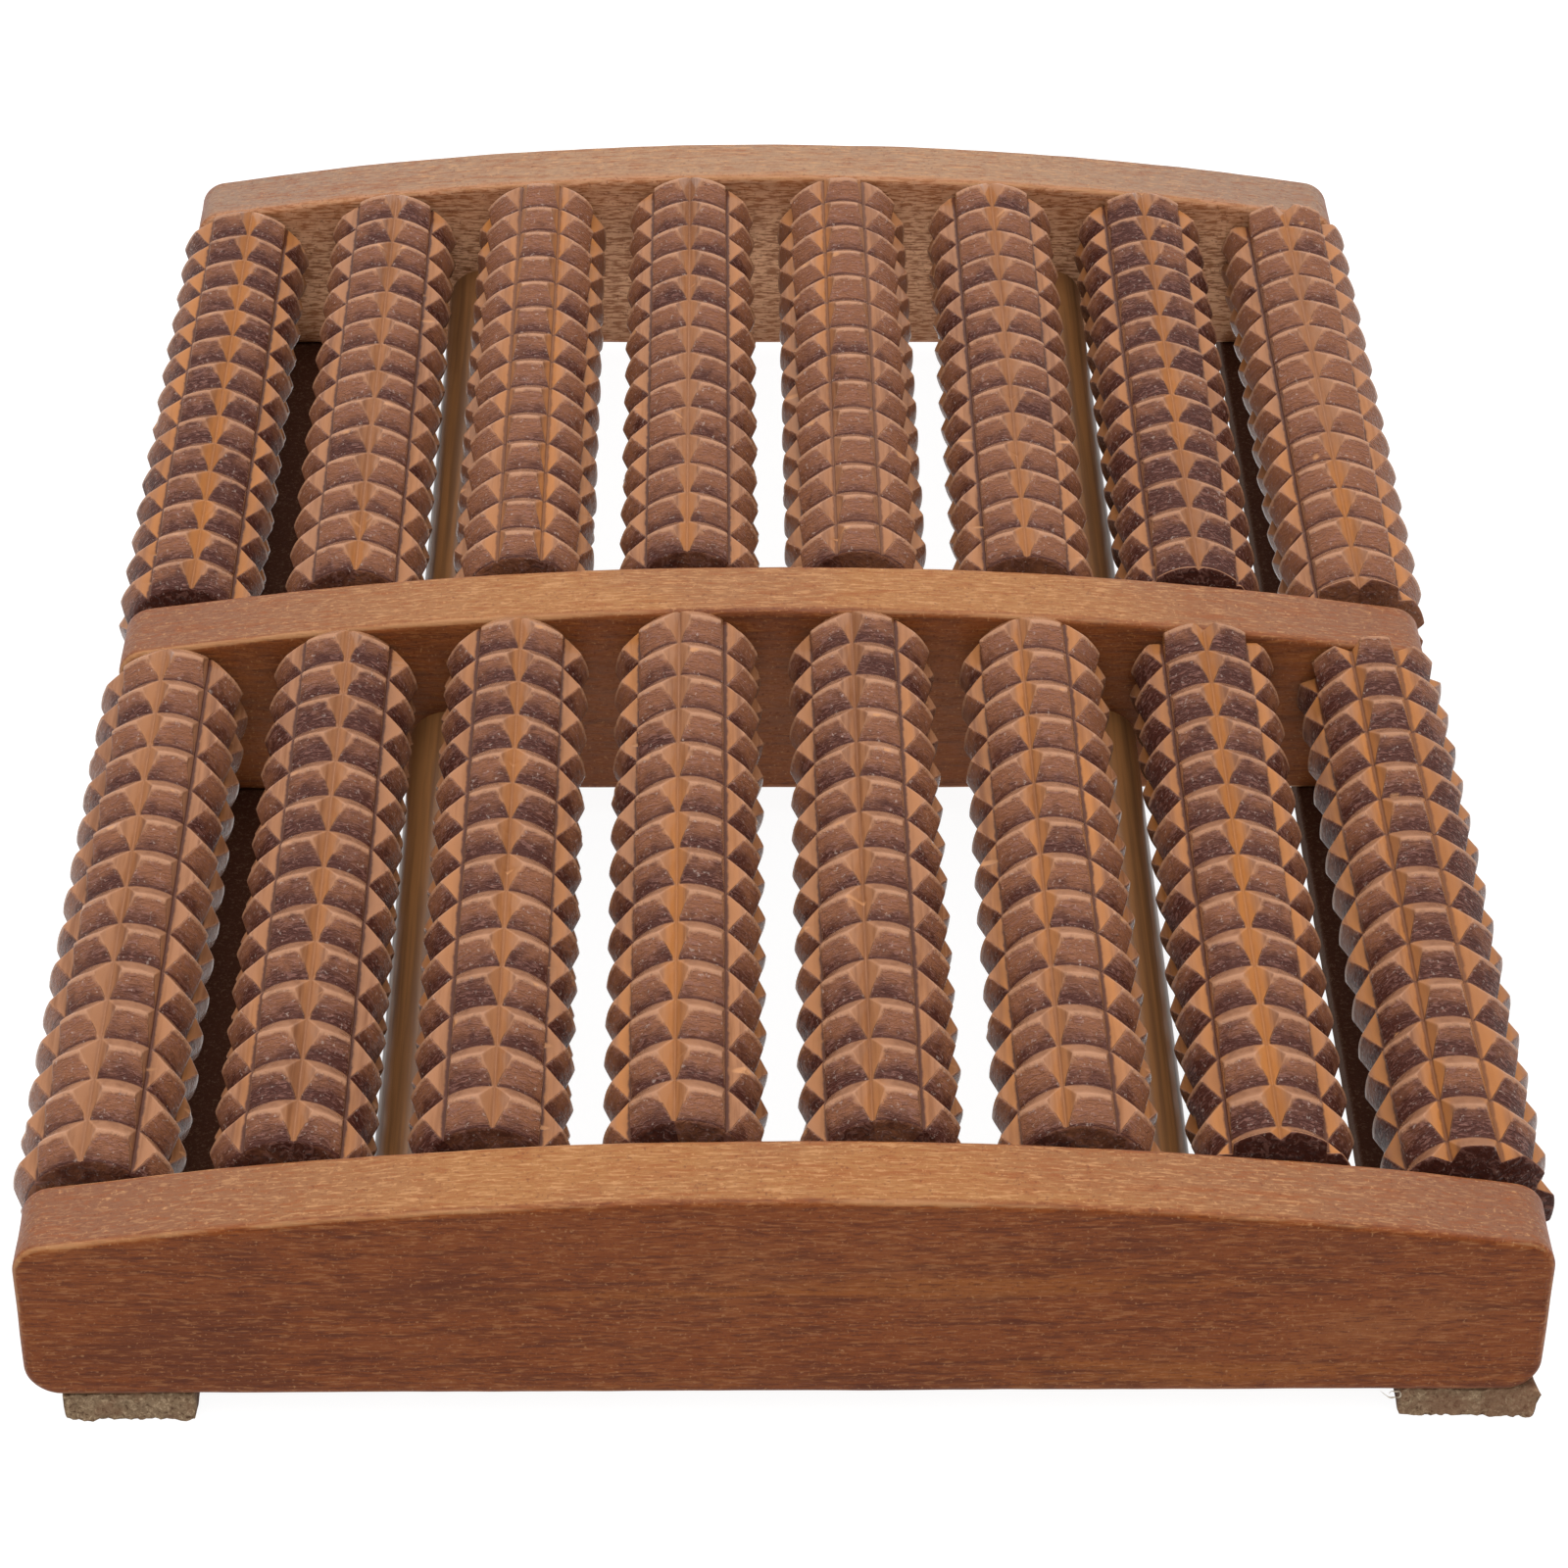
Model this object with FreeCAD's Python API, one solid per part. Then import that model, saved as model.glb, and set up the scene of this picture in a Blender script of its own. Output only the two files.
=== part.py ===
import FreeCAD, Part
import math
import os

# Wooden foot massage roller: three arched cross boards on two flat runners,
# tied by two round dowels, with two rows of toothed rollers that turn on
# steel rods. X runs along the boards, Y from the front board to the back
# one, Z up. The origin is on the ground under the middle of the object.
# All lengths are in millimetres and all angles in degrees.

# ---- Driving dimensions ----

# Rollers
rollers_per_row = 8
roller_diameter = 22.8       # across the corners of the teeth
roller_gap = 3.9             # between the teeth of two neighbours
roller_proud = 2.6           # teeth above the boards
ring_count = 14              # rings of teeth along a roller
side_count = 8               # teeth round a roller
ring_depth = 2.4             # of the turned grooves, at the middle of a tooth
flute_depth = 2.4            # of the milled flutes, below the corners of the teeth
roller_front_gap = 2.9       # between a roller and the board in front of it
roller_back_gap = 0.4        # and the board behind it, which the rollers have slid against
bore_clearance = 0.05        # radial, running on the rod

# Cross boards
board_thickness = 13.0
board_height = 35.0          # at the crown of the arch
arch_rise = 8.6              # crown above the ends of the arch
board_spacing = 136.0        # centre to centre, along Y
tooth_overhang = 2.35        # outer rollers beyond the ends of the boards
board_corner_radius = 5.0    # ends of the arch and of the bottom edge
board_edge_radius = 1.2      # worn long edges
blind_hole_wall = 5.0        # wood left outside the blind holes

# Runners under the boards
runner_thickness = 5.0
runner_width = 18.0
runner_setback = 0.5         # ends of the runners behind the outer boards' faces
runner_edge_radius = 0.8
left_runner_inset = 4.8      # from the ends of the boards
right_runner_inset = 0.9

# Tie dowels
dowel_diameter = 12.0
rollers_outside_dowel = 2    # on each side
dowel_inset = 2.0            # towards the middle, from halfway between two rollers
dowel_clearance = 1.5        # to the nearest roller
dowel_end_gap = 0.5          # left at the bottom of the blind holes
dowel_fit = 0.02             # radial, glued

# Axle rods
rod_diameter = 3.0
rod_end_gap = 0.3
rod_fit = 0.01               # radial, driven in

# How far each roller happens to be turned at rest, from the left one on
front_turns = [-6.5, 5.5, 6.5, -8.0, -10.0, -15.0, -0.5, 22.5]
back_turns = [8.0, 4.0, 22.0, -2.0, -21.0, 0.0, 3.5, -2.0]

# How far back each roller's rings lie: the rollers are sawn off a longer turned
# bar, most of them at the bottom of a groove and a few anywhere
front_ring_shifts = [0.0, 0.0, 0.0, 0.0, 0.0, 0.0, 2.6, 4.2]
back_ring_shifts = [0.0, 0.0, 0.0, 0.0, 0.0, 0.0, 0.8, 3.2]

# ---- Derived sizes and places ----

roller_radius = roller_diameter / 2
roller_pitch = roller_diameter + roller_gap
roller_length = board_spacing - board_thickness - roller_front_gap - roller_back_gap
ring_pitch = roller_length / ring_count
half_side_angle = math.radians(180.0 / side_count)
thinnest_slice = 0.1         # a ring's turn nearer than this to a roller's end is left out
board_length = rollers_per_row * roller_pitch - roller_gap - 2 * tooth_overhang
board_bottom = runner_thickness
blind_hole_depth = board_thickness - blind_hole_wall
arch_radius = (board_length / 2) ** 2 / (2 * arch_rise) + arch_rise / 2
arch_centre_z = board_bottom + board_height - arch_radius
runner_length = 2 * board_spacing + board_thickness - 2 * runner_setback
left_runner_x = -board_length / 2 + left_runner_inset + runner_width / 2
right_runner_x = board_length / 2 - right_runner_inset - runner_width / 2
dowel_x = (rollers_per_row / 2 - rollers_outside_dowel) * roller_pitch - dowel_inset

ALONG_Y = FreeCAD.Vector(0, 1, 0)
ORIGIN = FreeCAD.Vector(0, 0, 0)


def vector(x, y, z):
    return FreeCAD.Vector(x, y, z)


def arch_height(x):
    """Height of the boards' top edge above the ground at a distance x from the middle."""
    return arch_centre_z + math.sqrt(arch_radius ** 2 - x ** 2)


def axle_places():
    """Centres (x, z) of the axles of one row, from the left: they follow the arch."""
    places = []
    for number in range(rollers_per_row):
        x = (number - (rollers_per_row - 1) / 2) * roller_pitch
        z = arch_height(x) + roller_proud - roller_radius
        places.append((x, z))
    return places


def dowel_height():
    """Height of the dowels' centres: as high as fits, clear of the rollers on both sides."""
    reach = roller_radius + dowel_diameter / 2 + dowel_clearance
    heights = []
    for x, z in axle_places():
        if abs(x - dowel_x) < reach:
            heights.append(z - math.sqrt(reach ** 2 - (x - dowel_x) ** 2))
    return min(heights)


def rod_y(x, z, start, end, radius):
    """A round bar along Y between two places."""
    return Part.makeCylinder(radius, end - start, vector(x, start, z), ALONG_Y)


def board_blank(centre_y):
    """The sawn board: flat bottom, square ends and an arched top, with its corners and edges rounded."""
    half = board_length / 2
    shoulder = arch_height(half)
    crown = board_bottom + board_height
    front = centre_y - board_thickness / 2
    arch = Part.Arc(vector(-half, front, shoulder), vector(0, front, crown), vector(half, front, shoulder))
    right = Part.LineSegment(vector(half, front, shoulder), vector(half, front, board_bottom))
    bottom = Part.LineSegment(vector(half, front, board_bottom), vector(-half, front, board_bottom))
    left = Part.LineSegment(vector(-half, front, board_bottom), vector(-half, front, shoulder))
    outline = Part.Wire([arch.toShape(), right.toShape(), bottom.toShape(), left.toShape()])
    blank = Part.Face(outline).extrude(vector(0, board_thickness, 0))
    corners = [edge for edge in blank.Edges if is_along_y(edge)]
    blank = blank.makeFillet(board_corner_radius, corners)
    long_edges = [edge for edge in blank.Edges if not is_along_y(edge)]
    return blank.makeFillet(board_edge_radius, long_edges)


def is_along_y(edge):
    """True for a straight edge that crosses the board's thickness."""
    ends = [vertex.Point for vertex in edge.Vertexes]
    if len(ends) != 2:
        return False
    step = ends[1].sub(ends[0])
    return abs(abs(step.y) - step.Length) < 1e-6


def bored_board(centre_y, start, end):
    """A board with its dowel and rod holes, which all run along Y between the same two places."""
    board = board_blank(centre_y)
    holes = []
    for side in (-1, 1):
        holes.append(rod_y(side * dowel_x, dowel_height(), start, end, dowel_diameter / 2 + dowel_fit))
    for x, z in axle_places():
        holes.append(rod_y(x, z, start, end, rod_diameter / 2 + rod_fit))
    return board.cut(holes)


def front_board():
    """Blind holes open towards the front row of rollers."""
    inner_face = -board_spacing + board_thickness / 2
    return bored_board(-board_spacing, inner_face - blind_hole_depth, inner_face)


def middle_board():
    """Holes right through, for the dowels and rods of both rows."""
    return bored_board(0.0, -board_thickness / 2, board_thickness / 2)


def back_board():
    """Blind holes open towards the back row of rollers."""
    inner_face = board_spacing - board_thickness / 2
    return bored_board(board_spacing, inner_face, inner_face + blind_hole_depth)


def runner(centre_x):
    """A flat strip under the boards, from the front one to the back one, with its long edges eased."""
    corner = vector(centre_x - runner_width / 2, -runner_length / 2, 0)
    strip = Part.makeBox(runner_width, runner_length, runner_thickness, corner)
    edges = [edge for edge in strip.Edges if is_along_y(edge)]
    return strip.makeFillet(runner_edge_radius, edges)


def tie_dowel(side):
    """A dowel through the middle board, glued into the blind holes of the outer boards."""
    reach = board_spacing - board_thickness / 2 + blind_hole_depth - dowel_end_gap
    return rod_y(side * dowel_x, dowel_height(), -reach, reach, dowel_diameter / 2)


def axle_rod(x, z):
    """A steel rod through the middle board, with a roller on each side of it."""
    reach = board_spacing - board_thickness / 2 + blind_hole_depth - rod_end_gap
    return rod_y(x, z, -reach, reach, rod_diameter / 2)


def section_corners(flat_radius, y):
    """Corners of an eight-sided section of a roller, with its flats at a radius."""
    corner_radius = flat_radius / math.cos(half_side_angle)
    corners = []
    for number in range(side_count + 1):
        angle = 2 * half_side_angle * number
        corners.append(vector(corner_radius * math.sin(angle), y, corner_radius * math.cos(angle)))
    return corners


def ring_flat_radius(y, crest_flat, ring_shift):
    """Radius of the flat sides at a place along a roller: it rises and falls evenly between the grooves."""
    place = (y - ring_shift) / ring_pitch % 1.0
    return crest_flat - ring_depth * abs(2 * place - 1)


def ringed_bar(crest_flat, ring_shift):
    """A bar with flat sides, sawn off a longer one with V grooves turned round it."""
    turns = [ring_shift + number * ring_pitch / 2 for number in range(-2, 2 * ring_count + 1)]
    inner_turns = [y for y in turns if thinnest_slice < y < roller_length - thinnest_slice]
    places = [0.0] + inner_turns + [roller_length]
    sections = [section_corners(ring_flat_radius(y, crest_flat, ring_shift), y) for y in places]
    faces = [Part.Face(Part.makePolygon(sections[0])), Part.Face(Part.makePolygon(sections[-1]))]
    for near, far in zip(sections, sections[1:]):
        for side in range(side_count):
            rim = [near[side], near[side + 1], far[side + 1], far[side], near[side]]
            faces.append(Part.Face(Part.makePolygon(rim)))
    bar = Part.makeSolid(Part.makeShell(faces))
    if bar.Volume < 0:
        bar.reverse()
    return bar


def toothed_roller(ring_shift):
    """A roller along +Y from the origin, with its rings shifted along it.

    Rings come first: V grooves leave one crest to each ring pitch, and without
    a shift both ends are at the bottom of a groove. Flutes with a right-angled
    V are then milled along it, a little deeper than the grooves, so each tooth
    is a pyramid with a short ridge and a narrow neck to the next one.
    """
    flute_bottom = roller_radius - flute_depth
    crest_flat = crest_flat_radius(roller_radius, flute_bottom)
    flutes = [flute(flute_bottom, number) for number in range(side_count)]
    bore = rod_y(0, 0, 0, roller_length, rod_diameter / 2 + bore_clearance)
    return ringed_bar(crest_flat, ring_shift).cut(flutes).cut(bore)


def crest_flat_radius(tooth_corner, flute_bottom):
    """Radius of the flat ridge whose ends, cut by the flutes, lie at the teeth's corner radius.

    A ridge end lies on the flute's 45 degree flank: as far out from the flute's
    bottom as it is to its side. That gives one equation for how far out it is.
    """
    out = math.sqrt(tooth_corner ** 2 / 2 - flute_bottom ** 2 / 4) - flute_bottom / 2
    return (flute_bottom + out) * math.cos(half_side_angle) + out * math.sin(half_side_angle)


def flute(flute_bottom, number):
    """A right-angled V bar along the roller, with its point at the bottom of a flute."""
    reach = roller_radius
    points = [
        vector(0, 0, flute_bottom),
        vector(reach, 0, flute_bottom + reach),
        vector(-reach, 0, flute_bottom + reach),
        vector(0, 0, flute_bottom),
    ]
    bar = Part.Face(Part.makePolygon(points)).extrude(vector(0, roller_length, 0))
    bar.rotate(ORIGIN, ALONG_Y, number * 360.0 / side_count)
    return bar


def write_step(node, shape):
    shape.exportStep("parts/" + node + ".step")


def write_row(name, front_face, turns, ring_shifts):
    """The rollers of one row, each turned about its rod, behind the face of a board."""
    for index, (x, z) in enumerate(axle_places()):
        roller = toothed_roller(ring_shifts[index % len(ring_shifts)])
        roller.rotate(ORIGIN, ALONG_Y, turns[index % len(turns)])
        roller.translate(vector(x, front_face + roller_front_gap, z))
        write_step(name + "_roller_" + str(index + 1), roller)


def main():
    os.makedirs("parts", exist_ok=True)
    write_step("front_board", front_board())
    write_step("middle_board", middle_board())
    write_step("back_board", back_board())
    write_step("left_runner", runner(left_runner_x))
    write_step("right_runner", runner(right_runner_x))
    write_step("left_tie_dowel", tie_dowel(-1))
    write_step("right_tie_dowel", tie_dowel(1))
    write_row("front", -board_spacing + board_thickness / 2, front_turns, front_ring_shifts)
    write_row("back", board_thickness / 2, back_turns, back_ring_shifts)
    for index, (x, z) in enumerate(axle_places()):
        write_step("axle_rod_" + str(index + 1), axle_rod(x, z))


main()
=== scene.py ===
import math

import bmesh
import bpy
import numpy as np
from bpy.props import FloatProperty, FloatVectorProperty, IntProperty, PointerProperty
from mathutils import Matrix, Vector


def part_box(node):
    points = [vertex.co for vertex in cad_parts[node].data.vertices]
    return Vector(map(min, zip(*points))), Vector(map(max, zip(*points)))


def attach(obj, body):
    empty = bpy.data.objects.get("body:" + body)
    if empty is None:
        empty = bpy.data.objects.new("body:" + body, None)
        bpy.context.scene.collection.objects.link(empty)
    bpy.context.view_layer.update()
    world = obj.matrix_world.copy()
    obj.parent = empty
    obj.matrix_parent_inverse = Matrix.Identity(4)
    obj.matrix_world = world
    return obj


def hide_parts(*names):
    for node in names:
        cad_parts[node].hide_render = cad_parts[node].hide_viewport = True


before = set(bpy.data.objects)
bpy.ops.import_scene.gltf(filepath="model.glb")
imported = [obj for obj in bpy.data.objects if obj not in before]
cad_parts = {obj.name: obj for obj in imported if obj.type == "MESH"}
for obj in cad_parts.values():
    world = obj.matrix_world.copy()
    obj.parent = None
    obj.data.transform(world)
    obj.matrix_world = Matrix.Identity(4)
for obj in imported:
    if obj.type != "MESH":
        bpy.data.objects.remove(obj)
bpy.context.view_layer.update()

# Looks of a wooden foot massage roller: toothed rollers on steel rods, between
# three arched boards on two fibreboard runners, tied by two round dowels.
# Lengths in the shape functions are in millimetres; meshes are in metres.

bl_info = {
    "name": "Foot Massage Roller",
    "version": (1, 0, 0),
    "blender": (4, 5, 0),
    "location": "View3D > Sidebar > Foot Roller",
    "description": "Builds the wooden foot massage roller on its frame, piece by piece",
    "category": "Add Mesh",
}

MM = 0.001
SENSOR_WIDTH = 36.0
ROLLERS_PER_ROW = 8
ROWS = ("front", "back")
BOARDS = ("front_board", "middle_board", "back_board")
RUNNERS = ("left_runner", "right_runner")
DOWELS = ("left_tie_dowel", "right_tie_dowel")
# Points closer than this many metres are merged where a surface closes
MERGE_DISTANCE = 1e-8
# Added before a number is cut down to a whole one, in case it lies just below one
ROUND_OFF = 1e-6
# Taken off a wave, so that it mostly lies inside the plain shape
MOSTLY_INWARDS = 1.2


# ---- Sizes and colours ----

def length(label, text, millimetres):
    """A length in metres, given in millimetres."""
    return number(label, text, millimetres * MM, subtype="DISTANCE", unit="LENGTH", precision=5)


def number(label, text, value, **more):
    """A number that can't be below zero."""
    return FloatProperty(name=label, description=text, default=value, min=0.0, **more)


def bearing(label, text, radians):
    """An angle in radians."""
    return FloatProperty(name=label, description=text, default=radians, subtype="ANGLE")


def colour(label, text, *levels):
    """A linear colour: red, green and blue."""
    return FloatVectorProperty(name=label, description=text, default=levels, size=3,
                               min=0.0, max=1.0, subtype="COLOR")


def shares(label, text, *values):
    """A number from 0 to 1 for each of several pieces."""
    return FloatVectorProperty(name=label, description=text, default=values, size=len(values),
                               min=0.0, max=1.0)


class RollerSizes(bpy.types.PropertyGroup):
    """The turned and fluted rollers."""
    ring_count: IntProperty(name="Rings", description="Rings of teeth along a roller", default=14, min=2)
    side_count: IntProperty(name="Sides", description="Teeth round a roller", default=8, min=4)
    radius: length("Radius", "Out to the corners of the teeth", 11.4)
    ring_depth: length("Ring depth", "Depth of the turned grooves", 2.25)
    flute_depth: length("Flute depth", "Depth of the milled flutes", 2.36)
    crest_wear: length("Crest wear", "Radius that use has left on the ridges", 0.36)
    edge_wear: length("Edge wear", "Width that use has left on the teeth's side edges", 0.16)
    bore_radius: length("Bore", "Radius of the hole for the rod", 1.55)
    dark: colour("Dark stain", "Stain soaked into the cut ends of the fibres", 0.050, 0.015, 0.010)
    red: colour("Red stain", "The same faces where the stain is thin", 0.172, 0.067, 0.033)
    flank: colour("Flank", "Milled sides of the teeth", 0.230, 0.106, 0.055)
    flank_dark: colour("Flank streaks", "Dark streaks on the milled sides", 0.132, 0.052, 0.024)
    # Painted glow: orange at the flutes' bottoms stands in for light bounced inside the flutes and through
    # the varnish
    orange: colour("Orange wood", "Bottoms of the flutes where the stain took badly", 0.320, 0.120, 0.028)
    worn: colour("Worn wood", "Ridges and edges where the stain is rubbed off", 0.290, 0.146, 0.083)
    # Painted sheen: a greyish reflection of the bright sky on the dark patches' ripples, put into the colour
    painted_sheen: colour("Bloom", "Cloudy varnish on the rough patches", 0.170, 0.078, 0.060)
    # Painted glints: pale specks standing in for small highlights in the dark patches
    painted_glint: colour("Specks", "Specks of dust in the rough patches", 0.360, 0.270, 0.230)
    bare: colour("Bare wood", "Chips that took no stain", 0.360, 0.170, 0.075)
    front_stain: shares("Front row", "How dark each front roller's stain is",
                        0.42, 0.58, 0.56, 0.42, 0.48, 0.30, 0.74, 0.84)
    back_stain: shares("Back row", "How dark each back roller's stain is",
                       0.70, 0.38, 0.24, 0.30, 0.18, 0.30, 0.84, 0.10)
    # How strong the painted orange glow is in each roller's flutes
    front_orange: shares("Front row's orange", "How orange each front roller's flutes are",
                         0.10, 0.25, 0.35, 0.45, 0.30, 0.55, 0.75, 0.85)
    back_orange: shares("Back row's orange", "How orange each back roller's flutes are",
                        0.75, 0.20, 0.50, 0.25, 0.30, 0.20, 0.50, 0.40)


class BoardSizes(bpy.types.PropertyGroup):
    """The arched cross boards."""
    corner_radius: length("Corner radius", "Ends of the arch and of the bottom edge", 5.0)
    edge_radius: length("Edge radius", "Worn long edges", 1.3)
    arch_rise: length("Arch rise", "Crown of the arch above its ends", 8.6)
    unevenness: length("Unevenness", "Depth of the hand sanding's waves", 0.09)
    face: colour("Face", "Stained faces", 0.170, 0.043, 0.009)
    amber: colour("Amber", "Where the wood shows through the stain", 0.262, 0.080, 0.013)
    streak: colour("Streaks", "Dark streaks of the grain", 0.080, 0.018, 0.006)
    pale: colour("Pale streaks", "Light streaks of the grain", 0.270, 0.105, 0.036)
    # Painted light: the top is the faces' wood made paler, as light from above makes it
    top: colour("Top", "Sanded top, where the stain is thinner", 0.217, 0.090, 0.027)
    top_end: colour("Top's ends", "Ends of the top, where the fibres are cut across", 0.134, 0.052, 0.025)
    faded: colour("Faded top", "Greyer top of the rough-sawn board", 0.200, 0.150, 0.110)
    sawn: colour("Sawn", "Rough faces that were left as sawn", 0.660, 0.370, 0.210)
    worn: colour("Worn edge", "Edges where the stain is rubbed off", 0.350, 0.175, 0.075)
    rough_face: shares("Rough faces", "How rough-sawn each board's front face is", 0.0, 0.12, 1.0)


class RunnerSizes(bpy.types.PropertyGroup):
    """The fibreboard strips under the boards, and the glue that holds them."""
    edge_radius: length("Edge radius", "Rounded long edges", 0.7)
    roughness: length("Roughness", "Depth of the torn fibres on the cut ends", 0.28)
    top: colour("Top", "Dusty top face", 0.046, 0.014, 0.006)
    cut: colour("Cut end", "Sawn ends and edges", 0.215, 0.140, 0.082)
    stain: colour("Stained end", "Sawn ends where stain has run over them", 0.170, 0.080, 0.045)
    fibre: colour("Fibres", "Pale fibres on the sawn ends", 0.400, 0.290, 0.180)
    spread: FloatVectorProperty(name="Spread", description="How far each runner's front end bulges outwards",
                                default=(0.0002, 0.0012), size=2, min=0.0, unit="LENGTH")
    stained: shares("Stained", "How much stain has run over each runner's ends", 0.0, 1.0)
    glue: colour("Glue", "Dried string of glue", 0.300, 0.270, 0.210)


class RodSizes(bpy.types.PropertyGroup):
    """The tie dowels and the steel rods."""
    chamfer: length("Chamfer", "At the ends of a dowel", 0.6)
    unevenness: length("Unevenness", "Depth of the turning's waves", 0.05)
    dowel: colour("Dowel", "Varnished dowels", 0.210, 0.090, 0.030)
    dowel_streak: colour("Dowel streaks", "Streaks along the dowels", 0.085, 0.036, 0.014)
    steel: colour("Steel", "Axle rods", 0.430, 0.420, 0.400)
    steel_line: colour("Steel lines", "Fine lines along the rods", 0.250, 0.240, 0.230)


class StageSizes(bpy.types.PropertyGroup):
    """Floor, light and camera."""
    floor: colour("Floor", "Pale floor", 0.120, 0.120, 0.120)
    floor_glow: number("Floor glow", "Light that the lit floor sends out by itself", 0.94)
    zenith: number("Light from above", "Radiance straight above", 4.6)
    before: number("Light from the front", "Radiance at the horizon in front", 0.10)
    behind: number("Light from behind", "Radiance at the horizon behind", 1.10)
    place: FloatVectorProperty(name="Camera", description="Place of the camera", size=3,
                               default=(-0.008887, -0.583518, 0.439387),
                               subtype="TRANSLATION", unit="LENGTH")
    yaw: bearing("Yaw", "Turn of the camera from +Y, to the left", -0.0183)
    pitch: bearing("Pitch", "How far the camera looks down", 0.6437)
    roll: bearing("Roll", "Turn of the camera about its line of sight", 0.0093)
    lens: number("Lens", "Focal length in millimetres on a 36 mm wide sensor", 104.02)


# ---- Meshes ----

# Shortest and longest of the waves that make up a waviness, as shares of its reach
REACH_SPREAD = (0.6, 1.7)


def waviness(points, seed, reach, waves=8):
    """Smooth unevenness of about -1 to 1 at each point: a sum of plane waves.

    Their directions and phases are seeded, and their lengths lie round reach.
    """
    random = np.random.default_rng(seed)
    directions = random.normal(size=(waves, 3))
    directions /= np.linalg.norm(directions, axis=1, keepdims=True)
    directions *= 2 * np.pi / (reach * random.uniform(*REACH_SPREAD, (waves, 1)))
    phases = random.uniform(0, 2 * np.pi, waves)
    return np.sin(points @ directions.T + phases).sum(axis=-1) / math.sqrt(2 * waves)


def uneven(points, seed, *waves):
    """A sum of wavinesses, each given by its height and its length."""
    return sum(height * waviness(points, seed + number, reach)
               for number, (height, reach) in enumerate(waves))


def grid_faces(rows, columns, rings):
    """Corner numbers of a grid's quads. The columns close on themselves, and in a ring the rows do too."""
    here = np.arange(rows * columns).reshape(rows, columns)
    beside = np.roll(here, -1, axis=1)
    quads = np.stack([here, beside, np.roll(beside, -1, axis=0), np.roll(here, -1, axis=0)], axis=-1)
    return quads[:rows if rings else rows - 1].reshape(-1, 4)


def signed_volume(points, quads):
    """Volume inside the quads: positive where they face outwards."""
    a, b, c, d = (points[quads[:, i]] for i in range(4))
    halves = np.einsum("ij,ij->i", a, np.cross(b, c)) + np.einsum("ij,ij->i", a, np.cross(c, d))
    return halves.sum() / 6


def grid_piece(name, points, marks=None, rings=False):
    """A smooth closed mesh object from a grid of points in millimetres, with named number attributes.

    A row that has shrunk to a line or a point closes the surface. Its doubled points are merged.
    """
    rows, columns = points.shape[:2]
    flat = points.reshape(-1, 3) * MM
    quads = grid_faces(rows, columns, rings)
    if signed_volume(flat, quads) < 0:
        quads = quads[:, ::-1]
    mesh = bpy.data.meshes.new(name)
    mesh.vertices.add(len(flat))
    mesh.vertices.foreach_set("co", flat.astype(np.float32).ravel())
    mesh.loops.add(quads.size)
    mesh.loops.foreach_set("vertex_index", quads.astype(np.int32).ravel())
    mesh.polygons.add(len(quads))
    mesh.polygons.foreach_set("loop_start", np.arange(0, quads.size, 4, dtype=np.int32))
    mesh.update(calc_edges=True)
    for label, values in (marks or {}).items():
        layer = mesh.attributes.new(label, "FLOAT", "POINT")
        values = np.broadcast_to(values, (rows, columns))
        layer.data.foreach_set("value", values.astype(np.float32).ravel())
    if not rings:
        close_ends(mesh)
    mesh.polygons.foreach_set("use_smooth", np.ones(len(mesh.polygons), bool))
    mesh.update()
    piece = bpy.data.objects.new(name, mesh)
    bpy.context.scene.collection.objects.link(piece)
    return piece


def close_ends(mesh):
    """Merges the points of rows that have shrunk to a line or a point."""
    work = bmesh.new()
    work.from_mesh(mesh)
    bmesh.ops.remove_doubles(work, verts=work.verts, dist=MERGE_DISTANCE)
    bmesh.ops.recalc_face_normals(work, faces=work.faces)
    work.to_mesh(mesh)
    work.free()


def dress(piece, material, body, slot, *nodes):
    """Gives a piece its material and body, and the frame's nodes that it stands for. The record slot is not
    used.
    """
    piece.data.materials.append(material)
    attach(piece, body)
    if nodes:
        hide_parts(*nodes)


def node_box(node):
    """Lowest and highest corner of a frame node, in millimetres."""
    low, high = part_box(node)
    return np.array(low) / MM, np.array(high) / MM


# ---- Rollers ----

# Rows of one ring, as shares of half its pitch before and after the crest
RING_ROWS = np.array([-1.0, -0.93, -0.78, -0.5, -0.25, -0.12, -0.055, 0.0,
                      0.055, 0.12, 0.25, 0.5, 0.78, 0.93, 0.985])
# Columns of one half of a side: over the flute's flank, then over the ridge to its middle
FLANK_COLUMNS = np.array([0.09, 0.32, 0.62, 0.87, 1.0])
RIDGE_COLUMNS = np.array([0.07, 0.18, 0.42, 0.72])
# How far the rings' rows stay from a roller's ends, and how far in the end rows take their height from
END_CLEARANCE, END_INSET = 0.32, 0.05
# How the depths of rings and flutes vary, and the places of sides as a share of one
RING_SPREAD, FLUTE_SPREAD, SIDE_SPREAD = (-0.05, 0.07), (-0.07, 0.07), 0.009
# Length along a flute's flank for each length of arc, and how soft the flute's bottom is, in radians
FLANK_STRETCH, FLUTE_SOFTNESS = 1.35, 0.008
# Just under the cosine of 45 degrees, so that a shallow flute keeps a little width
WIDEST_COSINE = 0.7071
# Darkness of the seam in a flute that faces up, how much darker the others get, and over what angle: pooled
# stain with painted shade
SEAM_CLEAN, SEAM_RISE, SEAM_REACH = 0.20, 0.70, 0.35
# Rounding of a roller's ends, and its steps in and along from the corner, as shares of it
RIM, RIM_START, RIM_MIDDLE, RIM_STOP = 0.35, 0.6, (0.45, 0.12), 1.5
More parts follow.
